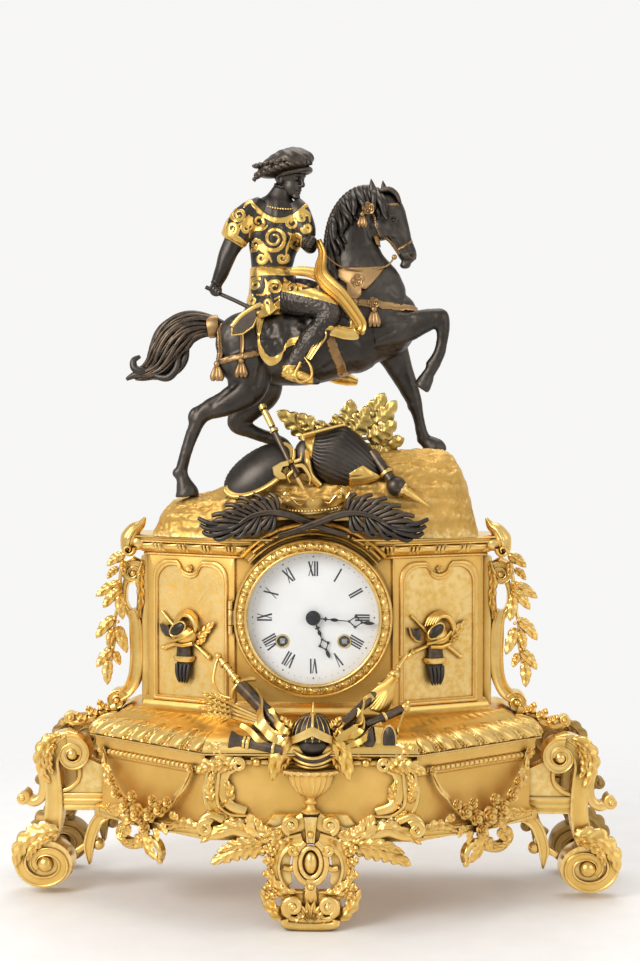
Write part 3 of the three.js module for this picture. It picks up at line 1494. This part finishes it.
const cockSlot = ROD_HALF + 0.7;
const cockTop = rodTop + GAP;
const suspensionCock = join(
  ...[cockSlot, -cockSlot - 3].map((x) =>
    block(x, x + 3, Y_ROD - 2.5, Y_ROD + 3, ANCHOR_RISE - 2, cockTop + 3),
  ),
  block(-cockSlot - 3, cockSlot + 3, Y_ROD - 2.5, Y_ROD + 3, cockTop, cockTop + 3),
  block(-cockSlot - 3, cockSlot + 3, Y_BACKSIDE + GAP, Y_ROD - 2, cockTop - 2, cockTop + 3),
  ...[cockSlot + 1, -cockSlot - 3].map((x) =>
    block(x, x + 2, Y_BACKSIDE + GAP, Y_ROD - 2, ANCHOR_RISE - 2, cockTop - 1),
  ),
);
piece("suspension_cock", suspensionCock, BRASS, front);

// Striking: count wheel behind the back plate, hammer and bell
const countTooth = towards(COUNT_POST, STRIKE) + halfTooth(FIRST_PINION);
const countWheel = join(
  arbor(GAP, PLATE_SPACE + PLATE_THICK + 2.2),
  gear(FIRST_PINION, depth(FIRST_W[0]), depth(FIRST_W[1]), countTooth),
  relief(
    outline(
      Array.from({ length: 48 }, (_, i) => {
        const radius = i % 4 < 2 ? 15 : 13;
        return [radius * Math.cos((Math.PI * i) / 24), radius * Math.sin((Math.PI * i) / 24)];
      }),
    ),
    1.2,
    Y_BACKSIDE + 2,
  ),
);
piece("count_wheel", place(countWheel, COUNT_POST), BRASS, front);

const BELL_POST = [14, -14];
const bellY = Y_BACKSIDE + 12;
const hammerY = bellY + 4;
const headX = BELL_POST[0] - BELL_RADIUS - GAP - 0.4;
const hammer = join(
  rod(ARBOR_RADIUS, depth(GAP), hammerY + 1.5, ...HAMMER_POST, 8),
  bar([
    [HAMMER_POST[0], HAMMER_POST[1] + 3, hammerY, 1.5, 1],
    [HAMMER_POST[0] - 3, HAMMER_POST[1] - 20, hammerY, 1.2, 1],
    [headX - 4, BELL_POST[1], hammerY, 1.2, 1],
  ]),
  block(headX - 7, headX, hammerY - 3, hammerY + 3, BELL_POST[1] - 3, BELL_POST[1] + 3),
);
piece("hammer", hammer, STEEL, front);

const bellBack = bellY + BELL_DEPTH;
const BELL_WALL = 1.6;
const bell = join(
  turned(
    [
      [0, bellBack],
      [BELL_RADIUS * 0.6, bellBack - 1.5],
      [BELL_RADIUS * 0.9, bellBack - 7],
      [BELL_RADIUS, bellY],
      [BELL_RADIUS - BELL_WALL, bellY],
      [BELL_RADIUS * 0.9 - BELL_WALL, bellBack - 8],
      [BELL_RADIUS * 0.6 - 1, bellBack - 1.5 - BELL_WALL],
      [0, bellBack - BELL_WALL],
    ],
    16,
  ),
  rod(2.2, Y_BACKSIDE + GAP, bellBack + 3, 0, 0, 10),
  rod(4, Y_BACKSIDE + GAP, Y_BACKSIDE + 2, 0, 0, 10),
);
piece("bell", place(bell, BELL_POST), BRASS, front);

// Rear bezel with its two straps to the front plate, and the back door
const rearFace = CASE_BACK + GAP;
const REAR_DEPTH = 4;
const doorFace = rearFace + REAR_DEPTH + GAP;
const DOOR_HINGE_X = -DRUM_RADIUS - KNUCKLE_RADIUS - 0.6;
const DOOR_HINGE_Y = doorFace + KNUCKLE_RADIUS;
const STRAP_THICK = 1.5;
const strapX = PLATE_RADIUS + GAP;
const doorLugs = [LUG + GAP, -2 * LUG - GAP].map((z) =>
  join(
    knuckle(z, z + LUG, DOOR_HINGE_X, DOOR_HINGE_Y),
    block(DOOR_HINGE_X - KNUCKLE_RADIUS, -DRUM_RADIUS + 4, rearFace, doorFace - GAP, z, z + LUG),
    block(DOOR_HINGE_X - KNUCKLE_RADIUS, DOOR_HINGE_X + KNUCKLE_RADIUS, rearFace, DOOR_HINGE_Y, z, z + LUG),
  ),
);
const rearBezel = join(
  turned(
    [
      [PLATE_RADIUS + 1, rearFace],
      [DRUM_RADIUS, rearFace],
      [DRUM_RADIUS, rearFace + REAR_DEPTH],
      [PLATE_RADIUS + 1, rearFace + REAR_DEPTH],
    ],
    ROUND_SIDES,
  ),
  block(strapX, strapX + STRAP_THICK, Y_PLATE, rearFace + 1, -4, 4),
  block(-strapX - STRAP_THICK, -strapX, Y_PLATE, rearFace + 1, -4, 4),
  ...doorLugs,
);
piece("rear_bezel", rearBezel, BRASS, front);

const DOOR_THICK = 2;
const backDoor = join(
  turned(
    [
      [0, doorFace + 3],
      [DOOR_RADIUS - 10, doorFace + 2],
      [DOOR_RADIUS - 5, doorFace],
      [DOOR_RADIUS, doorFace],
      [DOOR_RADIUS, doorFace + DOOR_THICK],
      [DOOR_RADIUS - 6, doorFace + DOOR_THICK],
      [DOOR_RADIUS - 10, doorFace + DOOR_THICK + 2],
      [0, doorFace + DOOR_THICK + 3],
    ],
    ROUND_SIDES,
  ),
  block(DOOR_HINGE_X, -DOOR_RADIUS + 2, doorFace + 0.2, doorFace + DOOR_THICK - 0.2, -LUG, LUG),
  knuckle(-LUG, LUG, DOOR_HINGE_X, DOOR_HINGE_Y),
);
piece("back_door", backDoor, BRASS, front);

export default clock;
